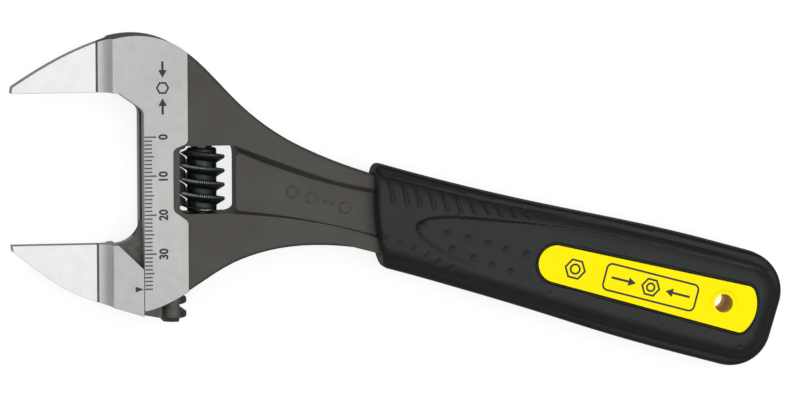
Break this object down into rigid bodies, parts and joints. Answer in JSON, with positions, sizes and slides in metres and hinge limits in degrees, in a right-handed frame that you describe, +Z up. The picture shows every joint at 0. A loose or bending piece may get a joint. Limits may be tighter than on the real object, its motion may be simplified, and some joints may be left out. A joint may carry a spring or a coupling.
{
  "type": "adjustable wrench",
  "caption": "Adjustable wrench with slim wide-opening jaws, a worm-driven sliding jaw and a soft two-colour grip with a hanging hole.",
  "frame": {"origin": "centre of the footprint of the wrench lying flat, at the plane it lies on", "axes": "+X from the jaws towards the handle's end, +Y the way the movable jaw slides to close, +Z up through the thickness"},
  "size_m": [0.2, 0.0884, 0.0164],
  "materials": {
    "body": "dark phosphate on the forged surfaces, ground bright on the jaw and head faces",
    "movable_jaw": "ground bright faces, dark web and rack",
    "worm": "black oxide, slightly glossy",
    "worm_pin": "blackened, slotted head",
    "worm_spring": "spring wire",
    "grip_core": "hard black plastic",
    "grip_cover": "soft black elastomer, fine satin grain",
    "badge_front": "yellow, semi-gloss",
    "badge_back": "yellow, semi-gloss"
  },
  "bodies": {
    "wrench_body": {"body": "body", "worm_pin": "worm_pin", "worm_spring": "worm_spring", "grip_core": "grip_core", "grip_cover": "grip_cover", "badge_front": "badge_front", "badge_back": "badge_back"},
    "jaw": {"movable_jaw": "movable_jaw"},
    "adjuster": {"worm": "worm"}
  },
  "joints": [
    {"name": "jaw_slide", "type": "slide", "parent": "wrench_body", "child": "jaw", "axis": [0, 1, 0], "range_m": [0, 0.039]},
    {"name": "worm_spin", "type": "hinge", "parent": "wrench_body", "child": "adjuster", "pos_m": [-0.0513, 0.00605, 0.0082], "axis": [0, 1, 0], "range_deg": [0, 3901]}
  ],
  "couplings": [
    {"joint": "worm_spin", "follows": "jaw_slide", "rad_per_m": 1745.3}
  ]
}
